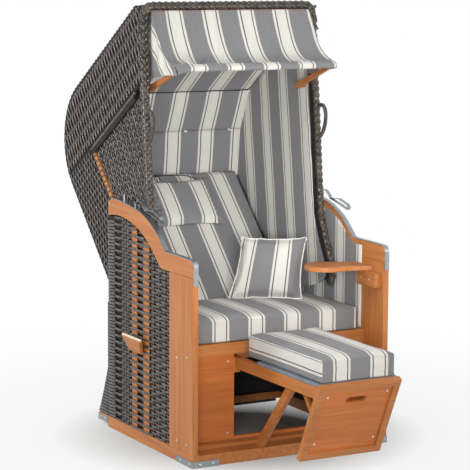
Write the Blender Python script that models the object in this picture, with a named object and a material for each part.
"""One-seat hooded beach chair: hood laid back, footrest pulled out. Metres, +Z up, front towards -Y.

Side views are written as (y, z) points: y runs back from the front face of the arm posts, z up from
the floor. The hood is written upright about its own pivot and then laid back. The last step centres the
chair on its footprint.
"""
import math

import bmesh
import bpy
from mathutils import Vector

# Fits
SEAT_GAP = 0.0003           # between pieces that touch
RUNNING_GAP = 0.001         # between pieces that slide or turn
WOOD_EDGE = 0.0015          # broken edge of planed wood
METAL_EDGE = 0.0004

# Base frame and side boards
CHAIR_WIDTH = 0.80
HEEL = 0.089                # the base runs this far out behind the arms
BOARD = 0.022               # thickness of the side boards and rails
BASE_HEIGHT = 0.042
RUNNER_END = 0.008          # the side rails stand on the floor up to here behind the arms
HEEL_LIFT = 0.014           # and clear it from there on
BRACKET_STEEL = 0.0015
BRACKET_SIDE_LEG = 0.124
BRACKET_FRONT_LEG = 0.105
BRACKET_HEIGHT = 0.023
DECK_DEPTH = 0.064
DECK_THICKNESS = 0.018
DECK_TOP = 0.038
STEP_TOP = 0.048

# Arm posts and arm boards
POST_SETBACK = 0.002
POST_BOARD = 0.0875
POST_JOINT = 0.001
ARM_LENGTH = 0.681
ARM_FRONT_TOP = 0.727
ARM_RISE = 0.144            # from the front of the arm to its highest point
ARM_BLOCK = 0.060           # height of the arm board over the post
ARM_TOP_SHARES = ((1.0, 0.87), (0.965, 0.97), (0.918, 1.0), (0.82, 0.965), (0.72, 0.91), (0.64, 0.85),
                  (0.565, 0.757), (0.50, 0.63), (0.438, 0.479), (0.385, 0.28), (0.336, 0.08),
                  (0.305, 0.02), (0.17, 0.012), (0.05, 0.0), (0.022, -0.02), (0.006, -0.07), (0.0, -0.14))
ARM_UNDERSIDE_SHARES = ((0.0, -0.417), (0.257, -0.417), (0.345, -0.417), (0.372, -0.38), (0.425, -0.18),
                        (0.476, 0.014), (0.565, 0.278), (0.658, 0.444), (0.759, 0.563), (0.878, 0.611),
                        (1.0, 0.556))
STRIP_STEEL = 0.0025
STRIP_MARGIN = 0.002
STRIP_DROP = 0.087          # how far the strip comes down in front of the arm
REAR_POST = 0.058

# Woven walls of the basket
WALL_THICKNESS = 0.010
WALL_INSET = 0.002
WINDOW_PITCH = 0.0245
WINDOW_HEIGHT = 0.0145
LATH_WINDOW = 0.080
LATH_WINDOW_STEPS = (0.178, 0.2695)     # to the windows' middles, in front of the rear post
SLOT_WINDOW = 0.032
SLOT_WINDOW_STEP = 0.025
WINDOW_FIRST = 0.075
WINDOW_MARGIN = 0.020       # whole wall kept above the highest window
LATH_WIDTH = 0.036
LATH_THICKNESS = 0.0072
REAR_WALL_TOP = 0.475
REAR_WALL_KNEE = 0.226      # the rear wall flares out below this height
LINING = 0.0015
LINING_TUCK = 0.016         # how far the lining stays under the arm's top edge

# Seat
SEAT_FRONT = 0.13
SEAT_RAIL_BOTTOM = 0.3615
SEAT_RAIL_HEIGHT = 0.040
CLEAT_WIDTH = 0.0195
CLEAT_HEIGHT = 0.016
SEAT_BOARD = 0.008
SEAT_BOARD_REAR = 0.466
SEAT_CROSS_RAIL = 0.020
PANEL_THICKNESS = 0.009
OPENING_WIDTH = 0.330
SILL_HEIGHT = 0.012
SILL_THICKNESS = 0.014
CUSHION_HEIGHT = 0.085
CUSHION_PLAY = 0.0142       # between the seat cushion and the side linings
CUSHION_REAR_TOP = 0.548
CUSHION_REAR_BOTTOM = 0.476
CUSHION_SETBACK = 0.004     # behind the front rail's face
CUSHION_CROWN = 0.006       # how far a cushion's face swells in the middle
CUSHION_EDGE = 0.010        # rounding of its sewn edges
CUSHION_DRAW = 0.004        # how far its sides are drawn in between the corners
SEAM = 0.0015               # half of a pillow's thickness at its seam

# Footrest
FOOTREST_HALF = 0.155       # outer face of its side rails
FOOT_RAIL_THICKNESS = 0.020
FOOT_RAIL_HEIGHT = 0.042
FOOT_RAIL_BOTTOM = 0.305
FOOT_RAIL_REAR = 0.215
FOOT_BOARD = 0.0115
FOOT_BOARD_REAR = -0.015
LEDGE_THICKNESS = 0.015
LEDGE_END = 0.061           # in front of the rear wall
PAD_LENGTH = 0.512
PAD_HALF_WIDTH = 0.149
PAD_HEIGHT = 0.082

# Flap at the front of the footrest
HINGE_FROM_FRONT = -0.428
HINGE_DROP = 0.010          # hinge axis under the flap's top edge
FLAP_TILT = math.radians(25.3)
FLAP_HALF_WIDTH = 0.161
FLAP_LENGTH = 0.306
FLAP_THICKNESS = 0.022
FLAP_STILE = 0.025
FLAP_PANEL = 0.009
SLOT_LENGTH = 0.082
SLOT_HEIGHT = 0.024
SLOT_DROP = 0.067

# Folding legs and stays of the footrest
PIN_RADIUS = 0.004
LEG_PIN_FROM_FRONT = -0.218
LEG_WIDTH = 0.030
LEG_THICKNESS = 0.020
LEG_SPREAD = math.radians(49.3)
STAY_WIDTH = 0.018
STAY_THICKNESS = 0.012
STAY_DISTANCE = 0.172       # from the flap's hinge down to the stay's pivot
STAY_STANDOFF = 0.012       # stay pivot behind the flap's back face
STAY_LENGTH = 0.138
STAY_SPREAD = math.radians(40.0)

# Hood, upright about its pivot
PIVOT_FROM_FRONT = 0.39
PIVOT_HEIGHT = 0.59
HOOD_RECLINE = math.radians(32.0)
BACK_LEAN = math.radians(13.0)
HOOD_INSET = 0.030          # from the chair's side in to the hood's
BACK_DISTANCE = 0.2793      # outer face of the back, square from the pivot
ROOF_HEIGHT = 0.905
ROOF_FRONT = -0.425
CROWN_RADIUS = 0.240
SHELL = 0.015
BACK_END = -0.030           # lower end of the shell along the back
SIDE_THICKNESS = 0.012
OVERLAY_THICKNESS = 0.0137  # wide outer layer of the hood's sides
OVERLAY_BOTTOM = 0.645
OVERLAY_REAR_BOTTOM = 0.095
POST_LINE = 0.030           # wooden corner post in front of the overlay, square from the pivot
POST_LATH = 0.018
EDGE_STRIP_HEIGHT = 0.027
EDGE_STRIP_FRONT = -0.240
NOSE_RADIUS = 0.050
RIM_BREAK = (-0.075, 0.200)
RIM_WIDTH = 0.039
RIM_THICKNESS = 0.030
RIM_ROUND = 0.009
CEILING_DROP = 0.033
CREASE = (0.275, 0.740)
FACET_START = (0.127, 0.839)
HOOD_LINING = 0.002

# Backrest and loose cushions
BACKREST_FACE = 0.2010
BACKREST_PAD = 0.0498
BACKREST_BOARD = 0.0118
BACKREST_TOP = 0.664
BACKREST_BOTTOM = -0.046
BACKREST_PLAY = 0.0237      # between the backrest pad and the hood's lining
HEAD_PAD_BOTTOM = 0.370
HEAD_PAD_TOP = 0.600
HEAD_PAD_HALF_WIDTH = 0.152
HEAD_PAD_THICKNESS = 0.050
PILLOW_WIDTH = 0.295
PILLOW_HEIGHT = 0.250
PILLOW_THICKNESS = 0.105
PILLOW_TURN = math.radians(-30.0)
PILLOW_LEAN = math.radians(15.0)
PILLOW_FROM_SIDE = 0.1867   # from the hood's lining to the pillow's middle
PILLOW_FROM_FRONT = 0.388

# Hood pivot, handles and catches
BOLT_RADIUS = 0.006
PLATE_RADIUS = 0.030
HANDLE_TUBE = 0.006
HANDLE_REACH = 0.055
HANDLE_ENDS = (0.442, 0.544)
HANDLE_INSET = 0.010        # from the rim's outer face to the middle of the loop

# Awning
AWNING_PIVOT = (-0.2656, 0.6476)
AWNING_ARM = 0.253
AWNING_DROOP = math.radians(12.3)
AWNING_ARM_HEIGHT = 0.024
AWNING_ARM_THICKNESS = 0.012
AWNING_ARM_PLAY = 0.011     # inside the rim
AWNING_BAR_RADIUS = 0.008
AWNING_CLOTH = 0.0015
AWNING_CLOTH_PLAY = 0.0025
AWNING_SAG = 0.030
AWNING_SEAM_SETOUT = 0.010  # in front of the roof's edge, under the rim
AWNING_FLAP_FOOT = (-0.306, 0.700)
CAP_RADIUS = 0.011

# Table on the right arm
TABLE_TOP = 0.646
TABLE_THICKNESS = 0.018
TABLE_REACH = 0.219
TABLE_ROOT = 0.170
TABLE_FRONT = 0.030
TABLE_OUTLINE_SHARES = ((0.0, 0.26), (0.08, 0.30), (0.20, 0.37), (0.35, 0.42), (0.55, 0.42), (0.75, 0.44),
                        (0.90, 0.56), (0.98, 0.70), (1.0, 0.82), (0.97, 1.0), (0.90, 1.15), (0.78, 1.25),
                        (0.62, 1.28), (0.48, 1.22), (0.35, 1.10), (0.20, 1.02), (0.0, 1.0))
TABLE_BRACKET_HEIGHT = 0.056
TABLE_BRACKET_DEPTH = 0.022
TABLE_BRACKET_FRONT = 0.022

# Latches on the arms and carrying handles on the walls
LATCH_PIN = (0.457, 0.871)
LATCH_WIDTH = 0.018
LATCH_STEEL = 0.002
LATCH_LOOP_SHARES = ((0.325, -0.217), (0.649, -0.117), (0.953, -0.377), (1.0, -0.557), (0.960, -0.717),
                     (0.663, -0.457))
LATCH_REACH = 0.200
LATCH_RISE = 0.060
LATCH_HOOK_SHARES = ((0.345, -0.217), (0.284, -0.017), (0.176, 0.203), (0.068, 0.223), (0.0, 0.0))
ARM_BOLT_FROM_FRONT = 0.564
ARM_BOLT_RADIUS = 0.004
ARM_BOLT_HEIGHT = 0.030
CARRY_LENGTH = 0.150
CARRY_HEIGHT = 0.052
CARRY_THICKNESS = 0.012
CARRY_CENTRE = 0.440
CARRY_FOOT = 0.338
CARRY_LEAN = math.radians(18.0)
CARRY_ROPE = 0.005

# Places worked out from the sizes above
HALF = CHAIR_WIDTH / 2
INNER = HALF - BOARD
BASE_DEPTH = ARM_LENGTH + HEEL
RUNNER_LENGTH = ARM_LENGTH + RUNNER_END
POST_REAR = POST_SETBACK + 2 * POST_BOARD + POST_JOINT
POST_TOP = ARM_FRONT_TOP - ARM_BLOCK - SEAT_GAP
REAR_POST_FRONT = ARM_LENGTH - REAR_POST
WALL_OUTER = HALF - WALL_INSET
WALL_INNER = WALL_OUTER - WALL_THICKNESS
LATH_INNER = WALL_INNER - SEAT_GAP - LATH_THICKNESS
LATH_WINDOW_CENTRES = [REAR_POST_FRONT - step for step in LATH_WINDOW_STEPS]
SLOT_WINDOW_CENTRE = REAR_POST_FRONT - SLOT_WINDOW_STEP
LINING_OUTER = INNER - SEAT_GAP
LINING_INNER = LINING_OUTER - LINING
CUSHION_HALF_WIDTH = LINING_INNER - CUSHION_PLAY
STEP_FRONT = BOARD + POST_SETBACK + DECK_DEPTH
STEP_REAR = SEAT_FRONT - SEAT_GAP
PANEL_FRONT = SEAT_FRONT + POST_SETBACK
PANEL_BOTTOM = STEP_TOP + SEAT_GAP
SEAT_RAIL_TOP = SEAT_RAIL_BOTTOM + SEAT_RAIL_HEIGHT
CLEAT_INNER = LINING_OUTER - CLEAT_WIDTH
CLEAT_TOP = SEAT_RAIL_TOP - SEAT_BOARD - 2 * SEAT_GAP
CUSHION_BOTTOM = SEAT_RAIL_TOP + SEAT_GAP
CUSHION_TOP = CUSHION_BOTTOM + CUSHION_HEIGHT
CUSHION_FRONT = SEAT_FRONT + CUSHION_SETBACK
OPENING_HALF = OPENING_WIDTH / 2
FOOT_RAIL_TOP = FOOT_RAIL_BOTTOM + FOOT_RAIL_HEIGHT
FOOT_BOARD_TOP = FOOT_RAIL_TOP + SEAT_GAP + FOOT_BOARD
HINGE_HEIGHT = FOOT_BOARD_TOP - HINGE_DROP
FOOT_RAIL_INNER = FOOTREST_HALF - FOOT_RAIL_THICKNESS
LEG_OUTER = FOOT_RAIL_INNER - RUNNING_GAP
STAY_OUTER = LEG_OUTER - LEG_THICKNESS - RUNNING_GAP
LEG_PIN_HEIGHT = FOOT_RAIL_BOTTOM + LEG_WIDTH / 2 - RUNNING_GAP
LEG_LENGTH = (LEG_PIN_HEIGHT - BASE_HEIGHT - SEAT_GAP - LEG_WIDTH / 2) / math.sin(LEG_SPREAD)
HOOD_HALF_WIDTH = HALF - HOOD_INSET
OVERLAY_INNER = HOOD_HALF_WIDTH - OVERLAY_THICKNESS
SIDE_OUTER = OVERLAY_INNER - SEAT_GAP
SIDE_INNER = SIDE_OUTER - SIDE_THICKNESS
HOOD_LINING_OUTER = SIDE_INNER - SEAT_GAP
HOOD_LINING_INNER = HOOD_LINING_OUTER - HOOD_LINING
BACKREST_HALF_WIDTH = HOOD_LINING_INNER - BACKREST_PLAY
PILLOW_PLACE = (HOOD_LINING_INNER - PILLOW_FROM_SIDE, PILLOW_FROM_FRONT)
RIM_OUTER = HOOD_HALF_WIDTH
RIM_INNER = RIM_OUTER - RIM_WIDTH
AWNING_ARM_OUTER = RIM_INNER - AWNING_ARM_PLAY
AWNING_CLOTH_HALF = RIM_INNER - AWNING_CLOTH_PLAY
RIM_SLOPE = (RIM_BREAK[0] - ROOF_FRONT) / (ROOF_HEIGHT - RIM_BREAK[1])
INNER_BACK = BACK_DISTANCE - SHELL - SEAT_GAP


SIDES = (("left", -1), ("right", 1))


def tidy_scene():
    for thing in list(bpy.data.objects):
        bpy.data.objects.remove(thing, do_unlink=True)


def material(name, colour, roughness, metallic=0.0):
    made = bpy.data.materials.get(name)
    if made is None:
        made = bpy.data.materials.new(name)
        made.use_nodes = True
        shader = made.node_tree.nodes["Principled BSDF"]
        shader.inputs["Base Color"].default_value = (*colour, 1.0)
        shader.inputs["Roughness"].default_value = roughness
        shader.inputs["Metallic"].default_value = metallic
    return made


def stained_wood():
    return material("stained_wood", (0.60, 0.25, 0.08), 0.45)


def dark_wicker():
    return material("dark_wicker", (0.055, 0.045, 0.04), 0.35)


def zinc_steel():
    return material("zinc_steel", (0.62, 0.65, 0.64), 0.35, 1.0)


def striped_cloth():
    return material("striped_cloth", (0.15, 0.15, 0.155), 0.9)


def grey_board():
    return material("grey_board", (0.20, 0.22, 0.25), 0.7)


def empty_at(name, place, parent=None, tilt=0.0, axis=0):
    """An empty on a joint axis: what it carries is written from that axis."""
    made = bpy.data.objects.new(name, None)
    made.location = place
    made.rotation_euler[axis] = tilt
    made.parent = parent
    bpy.context.scene.collection.objects.link(made)
    return made


def spread(plane, first, second, depth):
    """A point from its two coordinates in a plane and its depth along the plane's axis."""
    return {"X": (depth, first, second), "Y": (first, depth, second), "Z": (first, second, depth)}[plane]


def offset_path(path, distance):
    """An open path moved to its left by a distance, with mitred corners."""
    moved = []
    for index, point in enumerate(path):
        here = Vector(point)
        before = Vector(path[max(index - 1, 0)])
        after = Vector(path[min(index + 1, len(path) - 1)])
        normals = []
        for start, end in ((before, here), (here, after)):
            run = end - start
            if run.length > 0:
                normals.append(Vector((-run.y, run.x)).normalized())
        normal = sum(normals, Vector((0, 0))).normalized()
        mitre = normal.dot(normals[0])
        moved.append(tuple(here + normal * distance / mitre))
    return moved


def smooth_path(points, steps=3):
    """A curve through the points, steps spans between each two."""
    curve = []
    for index in range(len(points) - 1):
        p0, p1, p2, p3 = (Vector(points[min(max(index + shift, 0), len(points) - 1)])
                          for shift in (-1, 0, 1, 2))
        for step in range(steps):
            t = step / steps
            point = 0.5 * ((2 * p1) + (p2 - p0) * t + (2 * p0 - 5 * p1 + 4 * p2 - p3) * t ** 2
                           + (3 * p1 - p0 - 3 * p2 + p3) * t ** 3)
            curve.append(tuple(point))
    curve.append(tuple(points[-1]))
    return curve


def arc_points(centre, radius, start, end, steps):
    turns = [start + (end - start) * step / steps for step in range(steps + 1)]
    return [(centre[0] + radius * math.cos(turn), centre[1] + radius * math.sin(turn)) for turn in turns]


def nothing_else():
    """An empty collection: a union with it joins an object's own overlapping bodies into one."""
    return bpy.data.collections.get("nothing_else") or bpy.data.collections.new("nothing_else")


class Piece:
    """One named sub-part, built up from closed bodies."""

    def __init__(self, name, finish, parent=None, edge=0.0, segments=1):
        self.name = name
        self.finish = finish
        self.parent = parent
        self.edge = edge
        self.segments = segments
        self.mesh = bmesh.new()

    def prism(self, outline, near, far, plane="X"):
        corners = [self.mesh.verts.new(spread(plane, first, second, near)) for first, second in outline]
        face = self.mesh.faces.new(corners)
        grown = bmesh.ops.extrude_face_region(self.mesh, geom=[face])
        moved = [item for item in grown["geom"] if isinstance(item, bmesh.types.BMVert)]
        bmesh.ops.translate(self.mesh, verts=moved, vec=spread(plane, 0, 0, far - near))
        return self

    def block(self, x, y, z):
        return self.prism(((y[0], z[0]), (y[1], z[0]), (y[1], z[1]), (y[0], z[1])), x[0], x[1])

    def band(self, path, thickness, near, far, plane="X"):
        """A sheet of even thickness that follows a path, on the path's left side."""
        return self.prism(list(path) + offset_path(path, thickness)[::-1], near, far, plane)

    def loop(self, path, thickness, near, far):
        """A closed flat strip that follows a closed path in side view."""
        count = len(path)
        around = [Vector(point) for point in path]
        inner = []
        for index in range(count):
            before, here, after = around[index - 1], around[index], around[(index + 1) % count]
            first = (here - before).normalized()
            second = (after - here).normalized()
            normal = (Vector((-first.y, first.x)) + Vector((-second.y, second.x))).normalized()
            inner.append(here + normal * thickness / normal.dot(Vector((-first.y, first.x))))
        rings = []
        for outline in (around, inner):
            for depth in (near, far):
                rings.append([self.mesh.verts.new(spread("X", point.x, point.y, depth)) for point in outline])
        for low, high in ((0, 1), (1, 3), (3, 2), (2, 0)):
            for index in range(count):
                follow = (index + 1) % count
                self.mesh.faces.new((rings[low][index], rings[low][follow],
                                     rings[high][follow], rings[high][index]))
        return self

    def tube(self, path, radius, sides=8):
        """A round bar through 3-D points, closed at both ends."""
        points = [Vector(point) for point in path]
        rings = []
        across = None
        for index, here in enumerate(points):
            run = (points[min(index + 1, len(points) - 1)] - points[max(index - 1, 0)]).normalized()
            if across is None:
                across = run.orthogonal().normalized()
            across = (across - run * across.dot(run)).normalized()
            other = run.cross(across)
            rings.append([self.mesh.verts.new(here + radius * (math.cos(turn) * across + math.sin(turn) * other))
                          for turn in (2 * math.pi * side / sides for side in range(sides))])
        for first, second in zip(rings, rings[1:]):
            for side in range(sides):
                follow = (side + 1) % sides
                self.mesh.faces.new((first[side], first[follow], second[follow], second[side]))
        self.mesh.faces.new(rings[0])
        self.mesh.faces.new(rings[-1])
        return self

    def grid_box(self, cuts):
        """A cube of half size one with its faces cut in a grid, to be shaped."""
        made = bmesh.ops.create_cube(self.mesh, size=2.0)
        edges = list({edge for corner in made["verts"] for edge in corner.link_edges})
        bmesh.ops.subdivide_edges(self.mesh, edges=edges, cuts=cuts, use_grid_fill=True)
        return list(self.mesh.verts)

    def cushion(self, size, crown, centre, cuts=5):
        """A box cushion on a flat underside: crowned top, sides drawn in between the corners."""
        for corner in self.grid_box(cuts):
            x, y, z = corner.co
            swell = (1 - x ** 2) * (1 - y ** 2)
            corner.co = (x * (size[0] / 2 - CUSHION_DRAW * (1 - y ** 2)) + centre[0],
                         y * (size[1] / 2 - CUSHION_DRAW * (1 - x ** 2)) + centre[1],
                         z * size[2] / 2 + max(z, 0) * crown * swell + centre[2])
        return self

    def pillow(self, size, seam, cuts=7):
        """A stuffed pillow: thick in the middle, thin at the seam, its sides drawn in between the corners."""
        for corner in self.grid_box(cuts):
            x, y, z = corner.co
            swell = math.sqrt(max(1 - x ** 2, 0) * max(1 - y ** 2, 0))
            corner.co = (x * size[0] / 2 * (1 - (1 - y ** 2) / 18), y * size[1] / 2 * (1 - (1 - x ** 2) / 18),
                         z * (seam + (size[2] / 2 - seam) * swell))
        return self

    def finish_object(self, smooth=False, joined=False):
        bmesh.ops.recalc_face_normals(self.mesh, faces=self.mesh.faces)
        data = bpy.data.meshes.new(self.name)
        self.mesh.to_mesh(data)
        self.mesh.free()
        data.materials.append(self.finish)
        if smooth:
            data.shade_smooth()
            data.set_sharp_from_angle(angle=math.radians(35))
        made = bpy.data.objects.new(self.name, data)
        made.parent = self.parent
        bpy.context.scene.collection.objects.link(made)
        if joined:
            join = made.modifiers.new("joined", "BOOLEAN")
            join.operation = "UNION"
            join.operand_type = "COLLECTION"
            join.collection = nothing_else()
            join.use_self = True
        if self.edge:
            broken = made.modifiers.new("broken_edges", "BEVEL")
            broken.width = self.edge
            broken.segments = self.segments
            broken.limit_method = "ANGLE"
            broken.angle_limit = math.radians(40)
        return made


def cut_away(target, cutter):
    """Cut one object by another, which stays as a wire guide."""
    cutter.hide_render = True
    cutter.display_type = "WIRE"
    cut = target.modifiers.new("cut", "BOOLEAN")
    cut.operation = "DIFFERENCE"
    cut.object = cutter
    last = target.modifiers.find("broken_edges")
    if last >= 0:
        target.modifiers.move(len(target.modifiers) - 1, last)


def arm_point(shares):
    return shares[0] * ARM_LENGTH, ARM_FRONT_TOP + shares[1] * ARM_RISE


def arm_top():
    return [arm_point(shares) for shares in ARM_TOP_SHARES]


def arm_underside():
    return [arm_point(shares) for shares in ARM_UNDERSIDE_SHARES]


def height_on(path, place):
    """Height of a side-view curve over a place."""
    ordered = sorted(path)
    for (y0, z0), (y1, z1) in zip(ordered, ordered[1:]):
        if y0 <= place <= y1 and y1 > y0:
            return z0 + (z1 - z0) * (place - y0) / (y1 - y0)
    return ordered[-1][1]


def base_frame(root):
    """Two runners and two cross rails; the runners clear the floor behind the heel."""
    piece = Piece("base_frame", stained_wood(), root, WOOD_EDGE)
    runner = ((0, 0), (RUNNER_LENGTH, 0), (RUNNER_LENGTH, HEEL_LIFT), (BASE_DEPTH, HEEL_LIFT),
              (BASE_DEPTH, BASE_HEIGHT), (0, BASE_HEIGHT))
    for _, side in SIDES:
        piece.prism(runner, side * INNER, side * HALF)
    piece.block((-INNER, INNER), (POST_SETBACK, POST_SETBACK + BOARD), (0, BASE_HEIGHT))
    piece.block((-INNER, INNER), (BASE_DEPTH - BOARD, BASE_DEPTH), (HEEL_LIFT, BASE_HEIGHT))
    piece.finish_object(joined=True)


def corner_brackets(root):
    outer = HALF + SEAT_GAP + BRACKET_STEEL
    inner = outer - BRACKET_STEEL
    for name, side in SIDES:
        for end, floor in (("front", 0), ("rear", HEEL_LIFT)):
            face = -SEAT_GAP if end == "front" else BASE_DEPTH + SEAT_GAP
            leg = BRACKET_SIDE_LEG if end == "front" else RUNNER_LENGTH - BASE_DEPTH
            out = -BRACKET_STEEL if end == "front" else BRACKET_STEEL
            tip = side * (HALF - BRACKET_FRONT_LEG)
            angle = ((side * outer, face + out), (side * outer, face + leg), (side * inner, face + leg),
                     (side * inner, face), (tip, face), (tip, face + out))
            piece = Piece("corner_bracket_" + end + "_" + name, zinc_steel(), root)
            piece.prism(angle, floor, floor + BRACKET_HEIGHT, "Z").finish_object()


def front_deck(root):
    """Foot deck between the runners, with the raised step under the seat front."""
    piece = Piece("front_deck", stained_wood(), root, WOOD_EDGE)
    reach = INNER - SEAT_GAP
    low = DECK_TOP - DECK_THICKNESS
    profile = ((POST_SETBACK + BOARD + SEAT_GAP, low), (STEP_REAR, low), (STEP_REAR, STEP_TOP),
               (STEP_FRONT, STEP_TOP), (STEP_FRONT, DECK_TOP), (POST_SETBACK + BOARD + SEAT_GAP, DECK_TOP))
    piece.prism(profile, -reach, reach).finish_object()


def posts(root):
    """Front posts of two boards with a joint between them, and the wrapped rear posts."""
    bottom = BASE_HEIGHT + SEAT_GAP
    first = POST_SETBACK + POST_BOARD
    second = first + POST_JOINT
    groove = HALF - 2 * POST_JOINT
    rear_top = height_on(arm_underside(), REAR_POST_FRONT + REAR_POST / 2) - 4 * RUNNING_GAP
    for name, side in SIDES:
        post = Piece("post_" + name, stained_wood(), root)
        plan = ((side * INNER, POST_SETBACK), (side * HALF, POST_SETBACK), (side * HALF, first),
                (side * groove, (first + second) / 2), (side * HALF, second), (side * HALF, POST_REAR),
                (side * INNER, POST_REAR))
        post.prism(plan, bottom, POST_TOP, "Z").finish_object()
        wrapped = Piece("rear_post_" + name, dark_wicker(), root, WOOD_EDGE, 2)
        wrapped.block((side * (INNER + SEAT_GAP), side * WALL_OUTER), (REAR_POST_FRONT, ARM_LENGTH),
                      (bottom, rear_top)).finish_object()


def arms(root):
    """Arm boards, and the steel strips on their tops with the latch ears and the arm bolt."""
    outline = smooth_path(arm_top(), 2) + smooth_path(arm_underside(), 2)
    path = smooth_path(arm_top(), 2) + [(0, ARM_FRONT_TOP - STRIP_DROP)]
    path = offset_path(path, -SEAT_GAP - STRIP_STEEL)
    y_pin, z_pin = LATCH_PIN
    ear = 2 * LATCH_STEEL
    top = height_on(arm_top(), ARM_BOLT_FROM_FRONT)
    for name, side in SIDES:
        board = Piece("arm_board_" + name, stained_wood(), root, WOOD_EDGE)
        board.prism(outline, side * INNER, side * HALF).finish_object()
        strip = Piece("arm_strip_" + name, zinc_steel(), root)
        strip.band(path, STRIP_STEEL, side * (INNER + STRIP_MARGIN), side * (HALF - STRIP_MARGIN))
        middle = side * (HALF - BOARD / 2)
        low = height_on(arm_top(), y_pin) + STRIP_STEEL
        for shift in (-1, 1):
            near = middle + shift * LATCH_WIDTH / 2
            strip.block((near - shift * LATCH_STEEL, near), (y_pin - ear, y_pin + ear),
                        (low - SEAT_GAP, z_pin + ear))
        strip.tube(((middle, ARM_BOLT_FROM_FRONT, top + STRIP_STEEL / 2),
                    (middle, ARM_BOLT_FROM_FRONT, top + ARM_BOLT_HEIGHT)), ARM_BOLT_RADIUS, 12)
        strip.finish_object(joined=True)


def side_walls(root):
    """Woven side walls, open where single strands cross the wooden laths behind them."""
    front = POST_REAR + SEAT_GAP
    rear = REAR_POST_FRONT - SEAT_GAP
    bottom = BASE_HEIGHT + SEAT_GAP
    underside = smooth_path(arm_underside(), 2)

    def under(place):
        return height_on(underside, place) - 4 * SEAT_GAP

    outline = [(front, under(front))] + [(y, z - 4 * SEAT_GAP) for y, z in underside if front < y < rear]
    outline += [(rear, under(rear)), (rear, bottom), (front, bottom)]
    columns = [(centre, LATH_WINDOW) for centre in LATH_WINDOW_CENTRES]
    columns.append((SLOT_WINDOW_CENTRE, SLOT_WINDOW))
    for name, side in SIDES:
        wall = Piece("side_wall_" + name, dark_wicker(), root)
        wall = wall.prism(outline, side * WALL_INNER, side * WALL_OUTER).finish_object()
        windows = Piece("wall_windows_" + name, dark_wicker(), root)
        for centre, width in columns:
            limit = min(under(centre - width / 2), under(centre + width / 2)) - WINDOW_MARGIN
            for row in range(int((limit - WINDOW_FIRST - WINDOW_HEIGHT) / WINDOW_PITCH) + 1):
                low = WINDOW_FIRST + row * WINDOW_PITCH
                windows.block((side * (WALL_INNER - WALL_THICKNESS), side * (WALL_OUTER + WALL_THICKNESS)),
                              (centre - width / 2, centre + width / 2), (low, low + WINDOW_HEIGHT))
        cut_away(wall, windows.finish_object())
        laths = Piece("wall_laths_" + name, stained_wood(), root)
        for centre in LATH_WINDOW_CENTRES:
            place = centre + LATH_WINDOW / 2
            laths.block((side * LATH_INNER, side * (LATH_INNER + LATH_THICKNESS)),
                        (place - LATH_WIDTH / 2, place + LATH_WIDTH / 2),
                        (bottom, under(place) - WINDOW_MARGIN))
        laths.block((side * LATH_INNER, side * (LATH_INNER + LATH_THICKNESS)), (front, rear),
                    (bottom, bottom + LATH_WIDTH))
        laths.finish_object(joined=True)


def rear_wall(root):
    """Woven rear wall, flared at the foot, with its two woven cheeks."""
    piece = Piece("rear_wall", dark_wicker(), root)
    inner = ARM_LENGTH + SEAT_GAP
    bottom = BASE_HEIGHT + SEAT_GAP
    foot = BASE_DEPTH - WALL_INSET - WALL_THICKNESS
    path = [(foot, bottom), (inner, REAR_WALL_KNEE), (inner, REAR_WALL_TOP)]
    piece.band(path, -WALL_THICKNESS, -WALL_OUTER, WALL_OUTER)
    cheek = [(inner, bottom), (foot + WALL_THICKNESS / 2, bottom),
             (inner + WALL_THICKNESS / 2, REAR_WALL_KNEE), (inner, REAR_WALL_KNEE)]
    for _, side in SIDES:
        piece.prism(cheek, side * WALL_INNER, side * WALL_OUTER)
    piece.finish_object(joined=True)


def side_linings(root):
    front = POST_REAR - POST_BOARD / 3
    rear = ARM_LENGTH
    low = SEAT_RAIL_TOP + 2 * RUNNING_GAP
    top = [(y, z - LINING_TUCK) for y, z in smooth_path(arm_top(), 1) if front < y < rear]
    outline = [(front, low), (rear, low), (rear, top[0][1])] + top + [(front, top[-1][1])]
    for name, side in SIDES:
        lining = Piece("side_lining_" + name, striped_cloth(), root)
        lining = lining.prism(outline, side * LINING_INNER, side * LINING_OUTER).finish_object()
        hole = Piece("lining_hole_" + name, striped_cloth(), root)
        hole.tube(((side * (LINING_INNER - BOARD), PIVOT_FROM_FRONT, PIVOT_HEIGHT),
                   (side * (LINING_OUTER + BOARD), PIVOT_FROM_FRONT, PIVOT_HEIGHT)),
                  BOLT_RADIUS + RUNNING_GAP, 12)
        cut_away(lining, hole.finish_object())


def seat_frame(root):
    """Cleats on the walls, the front rail and a cross rail, and the board they carry."""
    piece = Piece("seat_frame", stained_wood(), root)
    for _, side in SIDES:
        piece.block((side * CLEAT_INNER, side * LINING_OUTER), (SEAT_FRONT, SEAT_BOARD_REAR + 2 * BOARD),
                    (CLEAT_TOP - CLEAT_HEIGHT, CLEAT_TOP))
    rail_rear = SEAT_BOARD_REAR - SEAT_CROSS_RAIL
    piece.block((-CLEAT_INNER, CLEAT_INNER), (rail_rear - SEAT_CROSS_RAIL, rail_rear),
                (SEAT_RAIL_BOTTOM, CLEAT_TOP))
    piece.block((-LINING_OUTER, LINING_OUTER), (SEAT_FRONT, SEAT_FRONT + BOARD),
                (SEAT_RAIL_BOTTOM, SEAT_RAIL_TOP))
    piece.finish_object(joined=True)
    board = Piece("seat_board", stained_wood(), root)
    board.block((-LINING_OUTER, LINING_OUTER), (SEAT_FRONT + BOARD + SEAT_GAP, SEAT_BOARD_REAR),
                (CLEAT_TOP + SEAT_GAP, CLEAT_TOP + SEAT_GAP + SEAT_BOARD)).finish_object()


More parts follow.
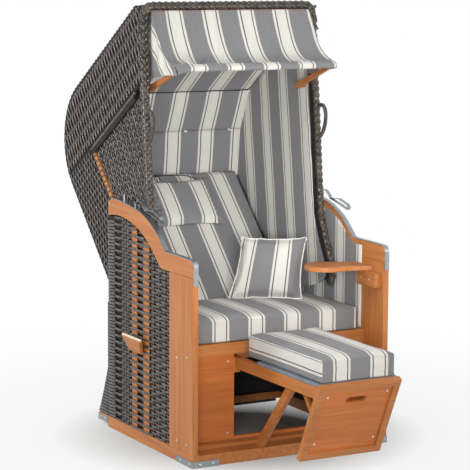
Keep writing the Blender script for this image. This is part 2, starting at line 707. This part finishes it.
def front_panel(root):
    """Panel under the seat front, open for the footrest, with a thicker sill in the opening."""
    piece = Piece("front_panel", stained_wood(), root)
    top = SEAT_RAIL_BOTTOM - SEAT_GAP
    for _, side in SIDES:
        piece.block((side * OPENING_HALF, side * LINING_OUTER), (PANEL_FRONT, PANEL_FRONT + PANEL_THICKNESS),
                    (PANEL_BOTTOM, top))
    piece.block((-OPENING_HALF, OPENING_HALF), (SEAT_FRONT, SEAT_FRONT + SILL_THICKNESS),
                (PANEL_BOTTOM, PANEL_BOTTOM + SILL_HEIGHT))
    piece.finish_object(joined=True)


def footrest_guides(root):
    """Ledges for the footrest's rails, each with a cheek at the opening and a hanger under the seat."""
    start = PANEL_FRONT + PANEL_THICKNESS + SEAT_GAP
    ledge_top = FOOT_RAIL_BOTTOM - SEAT_GAP
    inner = FOOT_RAIL_INNER + RUNNING_GAP
    outer = OPENING_HALF + BOARD
    hanger = SEAT_BOARD_REAR - 2 * SEAT_CROSS_RAIL
    for name, side in SIDES:
        piece = Piece("footrest_guide_" + name, stained_wood(), root)
        piece.block((side * inner, side * outer), (start, ARM_LENGTH - LEDGE_END),
                    (ledge_top - LEDGE_THICKNESS, ledge_top))
        for front, rear, top in ((start, start + 3 * BOARD, FOOT_RAIL_TOP),
                                 (hanger, hanger + SEAT_CROSS_RAIL, SEAT_RAIL_BOTTOM - SEAT_GAP)):
            piece.block((side * (FOOTREST_HALF + RUNNING_GAP), side * outer), (front, rear),
                        (ledge_top - LEDGE_THICKNESS / 2, top))
        piece.finish_object(joined=True)


def seat_cushion(root):
    """Full-width seat cushion, its rear face cut back along the reclined backrest."""
    piece = Piece("seat_cushion", striped_cloth(), root, CUSHION_EDGE, 2)
    depth = CUSHION_REAR_TOP - CUSHION_FRONT
    middle = CUSHION_FRONT + depth / 2
    piece.cushion((2 * CUSHION_HALF_WIDTH, depth, CUSHION_HEIGHT), CUSHION_CROWN,
                  (0, middle, CUSHION_BOTTOM + CUSHION_HEIGHT / 2))
    for corner in piece.mesh.verts:
        if corner.co.y > middle:
            drop = max(1 - (corner.co.z - CUSHION_BOTTOM) / CUSHION_HEIGHT, 0)
            back = (corner.co.y - middle) / (CUSHION_REAR_TOP - middle)
            corner.co.y -= (CUSHION_REAR_TOP - CUSHION_REAR_BOTTOM) * drop * back
    piece.finish_object(smooth=True)


def seat_height(x, y):
    """Height of the seat cushion's crowned top."""
    along = 2 * (y - CUSHION_FRONT) / (CUSHION_REAR_TOP - CUSHION_FRONT) - 1
    return CUSHION_TOP + CUSHION_CROWN * (1 - along ** 2) * (1 - (x / CUSHION_HALF_WIDTH) ** 2)


def throw_pillow(root):
    """Loose pillow standing turned on the seat: its lower corners rest on the seat cushion's crown."""
    out = Vector((math.cos(PILLOW_TURN), math.sin(PILLOW_TURN))) * PILLOW_WIDTH / 2
    edge = Vector(PILLOW_PLACE) - out.orthogonal().normalized() * PILLOW_HEIGHT / 2 * math.sin(PILLOW_LEAN)
    corners = [edge + out, edge - out]
    rest = max(seat_height(*corner) for corner in corners) + SEAT_GAP + SEAM * math.sin(PILLOW_LEAN)
    height = rest + PILLOW_HEIGHT / 2 * math.cos(PILLOW_LEAN)
    stand = empty_at("pillow_stand", (*PILLOW_PLACE, height), root)
    stand.rotation_euler = (math.pi / 2 - PILLOW_LEAN, 0, PILLOW_TURN)
    piece = Piece("throw_pillow", striped_cloth(), stand)
    piece.pillow((PILLOW_WIDTH, PILLOW_HEIGHT, PILLOW_THICKNESS), SEAM).finish_object(smooth=True)


def footrest(root):
    """Pull-out frame: two rails mitred to stop the flap, cross rails, leg pins, and the board on top."""
    carrier = empty_at("footrest_slide", (0, HINGE_FROM_FRONT, FOOT_RAIL_BOTTOM), root)
    slope = math.tan(FLAP_TILT)
    hinge = HINGE_HEIGHT - FOOT_RAIL_BOTTOM
    bottom_start = hinge * slope + 2 * SEAT_GAP
    top_start = (hinge - FOOT_RAIL_HEIGHT) * slope + 2 * SEAT_GAP
    rail_rear = FOOT_RAIL_REAR - HINGE_FROM_FRONT
    frame = Piece("footrest_frame", stained_wood(), carrier)
    profile = ((bottom_start, 0), (rail_rear, 0), (rail_rear, FOOT_RAIL_HEIGHT),
               (top_start, FOOT_RAIL_HEIGHT))
    pin = (LEG_PIN_FROM_FRONT - HINGE_FROM_FRONT, LEG_PIN_HEIGHT - FOOT_RAIL_BOTTOM)
    for _, side in SIDES:
        frame.prism(profile, side * FOOT_RAIL_INNER, side * FOOTREST_HALF)
        frame.tube(((side * (FOOT_RAIL_INNER + PIN_RADIUS), *pin),
                    (side * (LEG_OUTER - LEG_THICKNESS), *pin)), PIN_RADIUS, 12)
    for start in (bottom_start + FOOT_RAIL_THICKNESS, rail_rear - FOOT_RAIL_THICKNESS):
        frame.block((-FOOT_RAIL_INNER, FOOT_RAIL_INNER), (start, start + FOOT_RAIL_THICKNESS),
                    (FOOT_RAIL_HEIGHT / 2, FOOT_RAIL_HEIGHT))
    frame.finish_object(joined=True)
    board = Piece("footrest_board", grey_board(), carrier, WOOD_EDGE)
    low = FOOT_RAIL_HEIGHT + SEAT_GAP
    board.block((-FOOTREST_HALF, FOOTREST_HALF), (top_start, FOOT_BOARD_REAR - HINGE_FROM_FRONT),
                (low, low + FOOT_BOARD)).finish_object()
    return carrier


def rounded_bar(length, width, steps=6):
    """Side view of a bar with round ends, from its pivot at the origin down to its foot."""
    radius = width / 2
    return (arc_points((0, 0), radius, 0, math.pi, steps)
            + arc_points((0, -length), radius, math.pi, 2 * math.pi, steps))


def footrest_legs(carrier):
    place = (0, LEG_PIN_FROM_FRONT - HINGE_FROM_FRONT, LEG_PIN_HEIGHT - FOOT_RAIL_BOTTOM)
    pivot = empty_at("leg_pivot", place, carrier, math.pi / 2 - LEG_SPREAD)
    for name, side in SIDES:
        leg = Piece("footrest_leg_" + name, stained_wood(), pivot)
        leg.prism(rounded_bar(LEG_LENGTH, LEG_WIDTH), side * (LEG_OUTER - LEG_THICKNESS), side * LEG_OUTER)
        bore = Piece("leg_bore_" + name, stained_wood(), pivot)
        bore.tube(((side * FOOTREST_HALF, 0, 0), (side * STAY_OUTER, 0, 0)), PIN_RADIUS + SEAT_GAP, 12)
        cut_away(leg.finish_object(), bore.finish_object())


def flap(carrier):
    """Tilting front: a framed panel with a hand slot, and the hinged stays on its middle rail."""
    hinge = empty_at("flap_hinge", (0, 0, HINGE_HEIGHT - FOOT_RAIL_BOTTOM), carrier, FLAP_TILT)
    top = HINGE_DROP - SEAT_GAP
    bottom = top - FLAP_LENGTH
    inner = FLAP_HALF_WIDTH - FLAP_STILE
    low, high = bottom + FLAP_STILE, top - FLAP_STILE
    middle = -FLAP_THICKNESS / 2
    rail_front = middle + FLAP_PANEL / 2 + SEAT_GAP
    frame = Piece("flap_frame", stained_wood(), hinge)
    for _, side in SIDES:
        frame.block((side * inner, side * FLAP_HALF_WIDTH), (-FLAP_THICKNESS, 0), (bottom, top))
    for rail in ((bottom, low), (high, top)):
        frame.block((-inner, inner), (-FLAP_THICKNESS, 0), rail)
    drop = -STAY_DISTANCE
    frame.block((-inner, inner), (rail_front, 0), (drop - FLAP_STILE / 2, drop + FLAP_STILE / 2))
    height = STAY_WIDTH / 3
    ear = ((-SEAT_GAP, drop - height), (-SEAT_GAP, drop + height), (STAY_STANDOFF + height, drop + height),
           (STAY_STANDOFF + height, drop - height))
    for _, side in SIDES:
        for face, out in ((STAY_OUTER + SEAT_GAP, 1), (STAY_OUTER - STAY_THICKNESS - SEAT_GAP, -1)):
            frame.prism(ear, side * face, side * (face + out * LATCH_STEEL))
    frame.finish_object(joined=True)
    panel = Piece("flap_panel", stained_wood(), hinge)
    reach = inner - SEAT_GAP
    panel.block((-reach, reach), (middle - FLAP_PANEL / 2, middle + FLAP_PANEL / 2),
                (low + SEAT_GAP, high - SEAT_GAP))
    slot = Piece("hand_slot", stained_wood(), hinge)
    radius = SLOT_HEIGHT / 2
    span = SLOT_LENGTH / 2 - radius
    level = top - SLOT_DROP
    outline = (arc_points((span, level), radius, -math.pi / 2, math.pi / 2, 6)
               + arc_points((-span, level), radius, math.pi / 2, 3 * math.pi / 2, 6))
    slot.prism(outline, -2 * FLAP_THICKNESS, FLAP_THICKNESS, "Y")
    cut_away(panel.finish_object(), slot.finish_object())
    pivot = empty_at("stay_pivot", (0, STAY_STANDOFF, drop), hinge, -(STAY_SPREAD + FLAP_TILT))
    outline = [(-y, -z) for y, z in rounded_bar(STAY_LENGTH, STAY_WIDTH)]
    for name, side in SIDES:
        stay = Piece("flap_stay_" + name, stained_wood(), pivot)
        stay.prism(outline, side * (STAY_OUTER - STAY_THICKNESS), side * STAY_OUTER).finish_object()


def footrest_pad(root):
    lift = empty_at("pad_lift", (0, HINGE_FROM_FRONT, FOOT_BOARD_TOP), root)
    piece = Piece("footrest_pad", striped_cloth(), lift, CUSHION_EDGE, 2)
    piece.cushion((2 * PAD_HALF_WIDTH, PAD_LENGTH, PAD_HEIGHT), CUSHION_CROWN,
                  (0, PAD_LENGTH / 2 - HINGE_DROP, PAD_HEIGHT / 2 + SEAT_GAP)).finish_object(smooth=True)


def back_point(distance, along):
    """A point of the hood by its distance square from the pivot and its place along the leaning back."""
    return (distance * math.cos(BACK_LEAN) + along * math.sin(BACK_LEAN),
            along * math.cos(BACK_LEAN) - distance * math.sin(BACK_LEAN))


def back_at_height(distance, height):
    """Where a line along the leaning back, at a distance from the pivot, passes a height."""
    return (distance + height * math.sin(BACK_LEAN)) / math.cos(BACK_LEAN), height


def hood_curve(inset, end):
    """Roof, round crown and back as one side-view curve, inset from the outer face."""
    radius = CROWN_RADIUS - inset
    centre_height = ROOF_HEIGHT - CROWN_RADIUS
    lean_sin, lean_cos = math.sin(BACK_LEAN), math.cos(BACK_LEAN)
    centre = ((BACK_DISTANCE - CROWN_RADIUS + centre_height * lean_sin) / lean_cos, centre_height)
    curve = [(rim_line(ROOF_HEIGHT - inset), ROOF_HEIGHT - inset)]
    curve += arc_points(centre, radius, math.pi / 2, -BACK_LEAN, 9)
    curve.append(end)
    return curve


def rim_line(height):
    return ROOF_FRONT + (ROOF_HEIGHT - height) * RIM_SLOPE


def front_edge():
    """Front edge of the hood's sides from the roof down and round the nose at the pivot."""
    edge = [(rim_line(ROOF_HEIGHT - SHELL - SEAT_GAP), ROOF_HEIGHT - SHELL - SEAT_GAP), RIM_BREAK]
    edge += [(-NOSE_RADIUS * 1.12, NOSE_RADIUS * 1.8), (-NOSE_RADIUS, 0)]
    edge += arc_points((0, 0), NOSE_RADIUS, math.pi, 1.42 * math.pi, 6)[1:]
    return edge


def hood_sides(hood):
    """Woven sides in two layers: a full panel with the pivot boss, and an outer layer above and behind."""
    inner_curve = hood_curve(SHELL + SEAT_GAP, back_at_height(INNER_BACK, OVERLAY_REAR_BOTTOM))
    outline = front_edge() + [back_at_height(BACKREST_FACE, NOSE_RADIUS / 4)] + inner_curve[:0:-1]
    strip = OVERLAY_BOTTOM - EDGE_STRIP_HEIGHT
    rear_line = POST_LINE + POST_LATH + SEAT_GAP
    overlay = [(EDGE_STRIP_FRONT, strip), (EDGE_STRIP_FRONT, OVERLAY_BOTTOM),
               (rim_line(OVERLAY_BOTTOM), OVERLAY_BOTTOM), front_edge()[0]]
    overlay += inner_curve[1:]
    overlay += [back_at_height(rear_line, OVERLAY_REAR_BOTTOM), back_at_height(rear_line, strip)]
    for name, side in SIDES:
        wall = Piece("hood_side_" + name, dark_wicker(), hood)
        wall.prism(outline, side * SIDE_INNER, side * SIDE_OUTER)
        wall.prism(overlay, side * (SIDE_OUTER - SEAT_GAP), side * HOOD_HALF_WIDTH)
        wall.tube(((side * (SIDE_OUTER - SEAT_GAP), 0, 0), (side * HOOD_HALF_WIDTH, 0, 0)), PLATE_RADIUS, 24)
        bore = Piece("pivot_bore_" + name, dark_wicker(), hood)
        bore.tube(((side * (SIDE_INNER - BOARD), 0, 0), (side * HALF, 0, 0)), BOLT_RADIUS + SEAT_GAP, 16)
        cut_away(wall.finish_object(joined=True), bore.finish_object())
        lath = Piece("hood_corner_post_" + name, stained_wood(), hood, WOOD_EDGE)
        top = strip - SEAT_GAP
        lath.prism((back_at_height(POST_LINE, top), back_at_height(POST_LINE, OVERLAY_REAR_BOTTOM),
                    back_at_height(POST_LINE + POST_LATH, OVERLAY_REAR_BOTTOM),
                    back_at_height(POST_LINE + POST_LATH, top)),
                   side * (SIDE_OUTER + SEAT_GAP), side * HOOD_HALF_WIDTH).finish_object()


def hood_shell(hood):
    piece = Piece("hood_roof_and_back", dark_wicker(), hood)
    outline = hood_curve(0, back_point(BACK_DISTANCE, BACK_END))
    outline += hood_curve(SHELL, back_point(BACK_DISTANCE - SHELL, BACK_END))[::-1]
    piece.prism(outline, -HOOD_HALF_WIDTH, HOOD_HALF_WIDTH).finish_object()


def hood_rim(hood):
    """Braided rim round the open front, with the two loops the hood is pulled by."""
    piece = Piece("hood_rim", dark_wicker(), hood, RIM_ROUND, 2)
    path = offset_path([(rim_line(ROOF_HEIGHT), ROOF_HEIGHT)] + front_edge()[1:], -SEAT_GAP - RIM_THICKNESS)
    for _, side in SIDES:
        piece.band(path, RIM_THICKNESS, side * RIM_INNER, side * RIM_OUTER)
    face = ROOF_FRONT - SEAT_GAP
    piece.block((-RIM_OUTER, RIM_OUTER), (face - RIM_THICKNESS, face), (ROOF_HEIGHT - RIM_WIDTH, ROOF_HEIGHT))
    piece.finish_object(joined=True)
    low, high = HANDLE_ENDS
    steps = 14
    for name, side in SIDES:
        path = []
        for step in range(steps + 1):
            turn = math.pi * step / steps - math.pi / 2
            height = (low + high) / 2 + (high - low) / 2 * math.sin(turn)
            front = rim_line(height) - HANDLE_TUBE * RIM_SLOPE
            front -= (RIM_THICKNESS + 5 * SEAT_GAP) * math.hypot(1, RIM_SLOPE)
            path.append((side * (RIM_OUTER - HANDLE_INSET), front - HANDLE_REACH * math.cos(turn), height))
        handle = Piece("hood_handle_" + name, dark_wicker(), hood)
        handle.tube(path, HANDLE_TUBE, 8).finish_object(smooth=True)


def hood_lining(hood):
    """Cloth lining of the ceiling, the slanted upper back and both sides."""
    ceiling = ROOF_HEIGHT - CEILING_DROP
    behind = back_point(BACKREST_FACE + BACKREST_PAD + SEAT_GAP, BACKREST_TOP + RUNNING_GAP)
    path = [(rim_line(ceiling - HOOD_LINING) + RUNNING_GAP, ceiling), FACET_START, CREASE, behind]
    piece = Piece("hood_lining", striped_cloth(), hood)
    piece.band(path, HOOD_LINING, -HOOD_LINING_OUTER, HOOD_LINING_OUTER)
    rear = BACKREST_FACE + BACKREST_PAD
    outline = path + [back_at_height(rear, NOSE_RADIUS), back_at_height(rear - BACKREST_PAD, 0)]
    outline += [(y + RUNNING_GAP, z) for y, z in front_edge()[1:]][::-1]
    for _, side in SIDES:
        piece.prism(outline, side * HOOD_LINING_INNER, side * HOOD_LINING_OUTER)
    hole = Piece("lining_bore", striped_cloth(), hood)
    hole.tube(((-HALF, 0, 0), (HALF, 0, 0)), BOLT_RADIUS + RUNNING_GAP, 12)
    cut_away(piece.finish_object(joined=True), hole.finish_object())


def hood_pivot_bolts(root):
    """Bolts that stand in from the wall laths and carry the hood."""
    place = (PIVOT_FROM_FRONT, PIVOT_HEIGHT)
    for name, side in SIDES:
        bolt = Piece("hood_pivot_bolt_" + name, zinc_steel(), root)
        bolt.tube(((side * (LATH_INNER - SEAT_GAP), *place), (side * (SIDE_INNER + RUNNING_GAP), *place)),
                  BOLT_RADIUS, 16)
        bolt.finish_object(smooth=True)


def backrest(hood):
    board = Piece("backrest_board", stained_wood(), hood)
    face = BACKREST_FACE + BACKREST_PAD + SEAT_GAP
    reach = HOOD_LINING_INNER - SEAT_GAP
    corners = [back_point(face, BACKREST_BOTTOM), back_point(face, BACKREST_TOP),
               back_point(face + BACKREST_BOARD, BACKREST_TOP),
               back_point(face + BACKREST_BOARD, BACKREST_BOTTOM)]
    board.prism(corners, -reach, reach).finish_object()
    flat = empty_at("backrest_face", (0, *back_point(face - SEAT_GAP, 0)), hood, math.pi / 2 - BACK_LEAN)
    pad = Piece("backrest_cushion", striped_cloth(), flat, CUSHION_EDGE, 2)
    thick = BACKREST_PAD - CUSHION_CROWN
    pad.cushion((2 * BACKREST_HALF_WIDTH, BACKREST_TOP - BACKREST_BOTTOM, thick), CUSHION_CROWN,
                (0, (BACKREST_TOP + BACKREST_BOTTOM) / 2, thick / 2)).finish_object(smooth=True)
    middle = (HEAD_PAD_TOP + HEAD_PAD_BOTTOM) / 2
    along = (2 * middle - BACKREST_TOP - BACKREST_BOTTOM) / (BACKREST_TOP - BACKREST_BOTTOM)
    level = BACKREST_PAD - CUSHION_CROWN * along ** 2 + SEAT_GAP
    rest = empty_at("head_cushion_rest", (0, middle, level + HEAD_PAD_THICKNESS / 2), flat)
    head = Piece("head_cushion", striped_cloth(), rest)
    head.pillow((2 * HEAD_PAD_HALF_WIDTH, HEAD_PAD_TOP - HEAD_PAD_BOTTOM, HEAD_PAD_THICKNESS), 4 * SEAM)
    head.finish_object(smooth=True)


def awning_tip():
    return -AWNING_ARM * math.cos(AWNING_DROOP), -AWNING_ARM * math.sin(AWNING_DROOP)


def awning(hood):
    """Two arms pivoted inside the hood, the bar they carry, and the cloth from the rim to the bar."""
    pivot = empty_at("awning_pivot", (0, *AWNING_PIVOT), hood)
    tip = awning_tip()
    frame = Piece("awning_frame", stained_wood(), pivot)
    along = Vector(tip).normalized()
    across = Vector((-along.y, along.x)) * AWNING_ARM_HEIGHT / 2
    end = Vector(tip) - along * AWNING_BAR_RADIUS / 2
    start = along * -AWNING_ARM_HEIGHT / 2
    arm = [tuple(start + across), tuple(end + across / 2), tuple(end - across / 2), tuple(start - across)]
    for _, side in SIDES:
        frame.prism(arm, side * (AWNING_ARM_OUTER - AWNING_ARM_THICKNESS), side * AWNING_ARM_OUTER)
        frame.tube(((side * (AWNING_ARM_OUTER - METAL_EDGE), 0, 0),
                    (side * (HOOD_LINING_INNER - SEAT_GAP), 0, 0)), CAP_RADIUS, 16)
    reach = AWNING_ARM_OUTER - METAL_EDGE
    frame.tube(((-reach, *tip), (reach, *tip)), AWNING_BAR_RADIUS, 12)
    frame.finish_object(joined=True)
    awning_cloth(hood, (AWNING_PIVOT[0] + tip[0], AWNING_PIVOT[1] + tip[1]))


def awning_cloth(hood, bar):
    """Cloth bonnet: a sagging top from the seam under the rim to the bar, and a flap down each side."""
    piece = Piece("awning_cloth", striped_cloth(), hood)
    stations, columns = 8, 8
    front = Vector(bar) + Vector((0, AWNING_BAR_RADIUS + AWNING_CLOTH / 2 + SEAT_GAP))
    seam = Vector((ROOF_FRONT - AWNING_SEAM_SETOUT, ROOF_HEIGHT - RIM_WIDTH - AWNING_CLOTH))
    foot = Vector(AWNING_FLAP_FOOT)
    fall = (front - seam)
    inward = Vector((-fall.y, fall.x)).normalized()
    hem = Vector(bar) + Vector((-AWNING_BAR_RADIUS / 2, -AWNING_BAR_RADIUS))
    rows = []
    for station in range(stations + 1):
        share = station / stations
        top = seam + fall * share + inward * AWNING_SAG * math.sin(math.pi * share)
        low = foot + (hem - foot) * share
        row = [(-AWNING_CLOTH_HALF, *low), (-AWNING_CLOTH_HALF, *((top + low) / 2))]
        row += [(AWNING_CLOTH_HALF * (2 * column / columns - 1), *top) for column in range(columns + 1)]
        row += [(AWNING_CLOTH_HALF, *((top + low) / 2)), (AWNING_CLOTH_HALF, *low)]
        rows.append([piece.mesh.verts.new(point) for point in row])
    for first, second in zip(rows, rows[1:]):
        for index in range(len(first) - 1):
            piece.mesh.faces.new((first[index], first[index + 1], second[index + 1], second[index]))
    made = piece.finish_object(smooth=True)
    cloth = made.modifiers.new("cloth", "SOLIDIFY")
    cloth.thickness = AWNING_CLOTH
    cloth.offset = 0


def table(root):
    """Leaf-shaped fold-up table on a bracket block inside the right post."""
    bracket = Piece("table_bracket", stained_wood(), root, WOOD_EDGE)
    face = LINING_INNER - SEAT_GAP
    low = TABLE_TOP - TABLE_THICKNESS - TABLE_BRACKET_HEIGHT - SEAT_GAP
    bracket.block((face - TABLE_BRACKET_DEPTH, INNER - SEAT_GAP),
                  (TABLE_BRACKET_FRONT, POST_REAR - POST_BOARD / 3 - SEAT_GAP),
                  (low, low + TABLE_BRACKET_HEIGHT))
    bracket.finish_object()
    hinge = empty_at("table_hinge", (face, TABLE_FRONT, TABLE_TOP), root)
    outline = [(-TABLE_REACH * reach, TABLE_ROOT * along) for reach, along in TABLE_OUTLINE_SHARES]
    leaf = Piece("table_leaf", stained_wood(), hinge, WOOD_EDGE)
    leaf.prism(smooth_path(outline, 2), -TABLE_THICKNESS, 0, "Z").finish_object()


def latches(root):
    """Sprung steel bails that catch the hood: a closed loop on a strap that turns between the ears."""
    for name, side in SIDES:
        middle = side * (HALF - BOARD / 2)
        half = LATCH_WIDTH / 2 - LATCH_STEEL - SEAT_GAP
        pivot = empty_at("latch_pivot_" + name, (middle, *LATCH_PIN), root)
        bail = Piece("latch_bail_" + name, zinc_steel(), pivot)
        loop = [(-LATCH_REACH * y, LATCH_RISE * z) for y, z in LATCH_LOOP_SHARES]
        bail.loop(loop, LATCH_STEEL, -half, half)
        hook = [(-LATCH_REACH * y, LATCH_RISE * z) for y, z in LATCH_HOOK_SHARES]
        bail.band(smooth_path(hook, 3), LATCH_STEEL, -half, half)
        bail.finish_object(joined=True)


def carrying_handles(root):
    """Fold-out wooden grips with a rope edge; a round lower edge turns against the wall."""
    radius = CARRY_THICKNESS / 2
    half = CARRY_LENGTH / 2
    taper = CARRY_LENGTH / 6
    outline = ((taper - half, 0), (half - taper, 0), (half, CARRY_HEIGHT), (-half, CARRY_HEIGHT))
    for name, side in SIDES:
        place = (side * (WALL_OUTER + SEAT_GAP + radius), CARRY_CENTRE, CARRY_FOOT)
        pivot = empty_at("carry_pivot_" + name, place, root, side * CARRY_LEAN, 1)
        grip = Piece("carry_handle_" + name, stained_wood(), pivot)
        grip.prism(outline, -radius, radius)
        grip.tube(((0, taper - half, 0), (0, half - taper, 0)), radius, 24)
        grip.tube(((0, CARRY_ROPE - half, CARRY_HEIGHT), (0, half - CARRY_ROPE, CARRY_HEIGHT)), CARRY_ROPE, 8)
        grip.finish_object(joined=True)


def centre_on_footprint(root):
    """Put the chair's origin on the floor under the middle of its outline."""
    bpy.context.view_layer.update()
    places = [(thing.matrix_world @ corner.co).y for thing in bpy.data.objects
              if thing.type == "MESH" and not thing.hide_render for corner in thing.data.vertices]
    root.location.y -= (min(places) + max(places)) / 2


def build():
    tidy_scene()
    root = empty_at("chair_frame", (0, 0, 0))
    for make in (base_frame, corner_brackets, front_deck, posts, arms, side_walls, rear_wall, side_linings,
                 seat_frame, front_panel, footrest_guides, seat_cushion, throw_pillow, footrest_pad, table,
                 latches, carrying_handles, hood_pivot_bolts):
        make(root)
    carrier = footrest(root)
    footrest_legs(carrier)
    flap(carrier)
    hood = empty_at("hood_pivot", (0, PIVOT_FROM_FRONT, PIVOT_HEIGHT), root, -HOOD_RECLINE)
    for make in (hood_sides, hood_shell, hood_rim, hood_lining, backrest, awning):
        make(hood)
    centre_on_footprint(root)


build()
